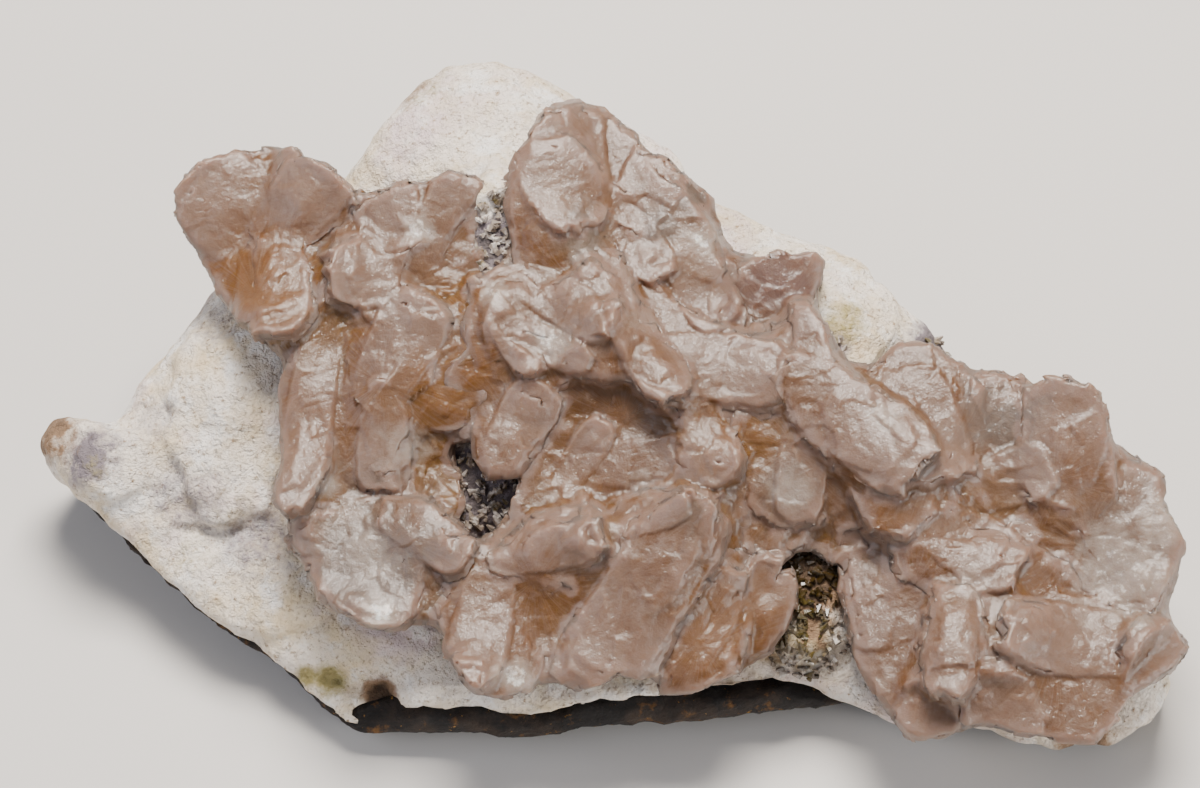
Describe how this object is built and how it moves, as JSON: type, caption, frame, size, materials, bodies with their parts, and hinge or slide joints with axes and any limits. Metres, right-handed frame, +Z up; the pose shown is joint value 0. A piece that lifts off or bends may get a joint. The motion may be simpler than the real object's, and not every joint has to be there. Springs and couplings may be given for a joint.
{
  "type": "heulandite specimen",
  "caption": "Cabinet mineral specimen: fans of curved peach heulandite blades on a white crust over dark basalt.",
  "frame": {"origin": "bottom centre of the specimen's box, on the surface that it rests on", "axes": "+X along its length to the right as pictured, +Y away from the viewer towards the high ridge, +Z up"},
  "size_m": [0.1464, 0.095, 0.0463],
  "materials": {
    "basalt": "rough broken basalt, dark brown to black",
    "white_crust": "matte cream-white porcelain-like crust, finely granular",
    "heulandite": "translucent peach to pinkish white, pearly and vitreous"
  },
  "bodies": {
    "root": {"basalt_base": "basalt", "white_crust": "white_crust", "upper_left_fan": "heulandite", "left_cluster": "heulandite", "centre_cluster": "heulandite", "small_lower_cluster": "heulandite", "right_cluster": "heulandite"}
  },
  "joints": []
}
